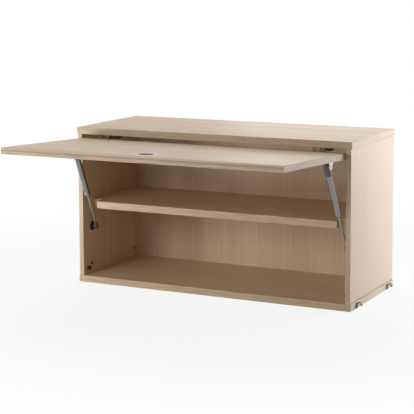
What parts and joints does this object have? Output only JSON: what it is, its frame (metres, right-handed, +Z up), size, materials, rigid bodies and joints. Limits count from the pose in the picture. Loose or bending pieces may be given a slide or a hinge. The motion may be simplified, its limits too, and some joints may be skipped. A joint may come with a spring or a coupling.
{
  "type": "lift up wall cabinet",
  "caption": "Wooden wall cabinet with a shelf and a front flap that lifts on cranked hinges and gas struts, hung by small end hooks.",
  "frame": {"origin": "middle of the bottom panel's underside", "axes": "+X along the width to the right as seen from the front, +Y from the front to the wall, +Z up"},
  "size_m": [0.8072, 0.69, 0.42],
  "materials": {
    "board": "pale straight-grained veneer on board, clear matt lacquer",
    "dowel_wood": "fluted beech, bare",
    "hinge_metal": "nickel plated, warm, satin",
    "zinc_steel": "zinc plated, satin",
    "dark_steel": "dark plated, satin",
    "strut_paint": "grey lacquer, glossy",
    "polished_rod": "hard chrome, polished",
    "grey_plastic": "grey moulding",
    "black_plastic": "black moulding, fine texture",
    "stop_rubber": "soft black, matt",
    "pull_metal": "satin, darkened rim"
  },
  "bodies": {
    "cabinet": {"back_panel": "board", "bottom_panel": "board", "cam_bolts": "zinc_steel", "cam_housings": "dark_steel", "hinge_block_screws": "zinc_steel", "hook_screws": "zinc_steel", "left_flap_stop": "stop_rubber", "left_front_hook": "dark_steel", "left_hinge_arm": "hinge_metal", "left_hinge_block": "black_plastic", "left_hinge_pin": "hinge_metal", "left_rear_hook": "dark_steel", "left_side_panel": "board", "left_strut_foot": "black_plastic", "left_strut_foot_stud": "zinc_steel", "panel_dowels": "dowel_wood", "right_flap_stop": "stop_rubber", "right_front_hook": "dark_steel", "right_hinge_arm": "hinge_metal", "right_hinge_block": "black_plastic", "right_hinge_pin": "hinge_metal", "right_rear_hook": "dark_steel", "right_side_panel": "board", "right_strut_foot": "black_plastic", "right_strut_foot_stud": "zinc_steel", "shelf": "board", "shelf_pins": "zinc_steel", "strut_foot_screws": "zinc_steel", "top_panel": "board"},
    "flap": {"flap_panel": "board", "left_hinge_leaf": "hinge_metal", "right_hinge_leaf": "hinge_metal", "hinge_leaf_screws": "zinc_steel", "left_flap_bracket": "zinc_steel", "right_flap_bracket": "zinc_steel", "left_flap_bracket_stud": "zinc_steel", "right_flap_bracket_stud": "zinc_steel", "flap_bracket_screws": "zinc_steel", "pull_cup": "pull_metal", "pull_screw": "pull_metal"},
    "left_cylinder": {"left_strut_tube": "strut_paint", "left_strut_guide": "grey_plastic", "left_strut_head": "grey_plastic"},
    "left_rod": {"left_strut_rod": "polished_rod", "left_strut_piston": "zinc_steel", "left_strut_eye": "grey_plastic"},
    "right_cylinder": {"right_strut_tube": "strut_paint", "right_strut_guide": "grey_plastic", "right_strut_head": "grey_plastic"},
    "right_rod": {"right_strut_rod": "polished_rod", "right_strut_piston": "zinc_steel", "right_strut_eye": "grey_plastic"}
  },
  "joints": [
    {"name": "flap_hinge", "type": "hinge", "parent": "cabinet", "child": "flap", "pos_m": [0, -0.159, 0.3931], "axis": [1, 0, 0], "range_deg": [0, 92.7]},
    {"name": "left_strut_swing", "type": "hinge", "parent": "flap", "child": "left_cylinder", "pos_m": [-0.3521, -0.22819, 0.36733], "axis": [1, 0, 0], "range_deg": [-114.72, 0]},
    {"name": "left_strut_stroke", "type": "slide", "parent": "left_cylinder", "child": "left_rod", "axis": [0.0404, -0.4638, 0.885], "range_m": [0, 0.06985]},
    {"name": "right_strut_swing", "type": "hinge", "parent": "flap", "child": "right_cylinder", "pos_m": [0.3521, -0.22819, 0.36733], "axis": [1, 0, 0], "range_deg": [-114.72, 0]},
    {"name": "right_strut_stroke", "type": "slide", "parent": "right_cylinder", "child": "right_rod", "axis": [-0.0404, -0.4638, 0.885], "range_m": [0, 0.06985]}
  ],
  "couplings": [
    {"joint": "left_strut_swing", "follows": "flap_hinge", "ratio": -1.2374},
    {"joint": "left_strut_stroke", "follows": "flap_hinge", "m_per_rad": 0.043168},
    {"joint": "right_strut_swing", "follows": "flap_hinge", "ratio": -1.2374},
    {"joint": "right_strut_stroke", "follows": "flap_hinge", "m_per_rad": 0.043168}
  ]
}
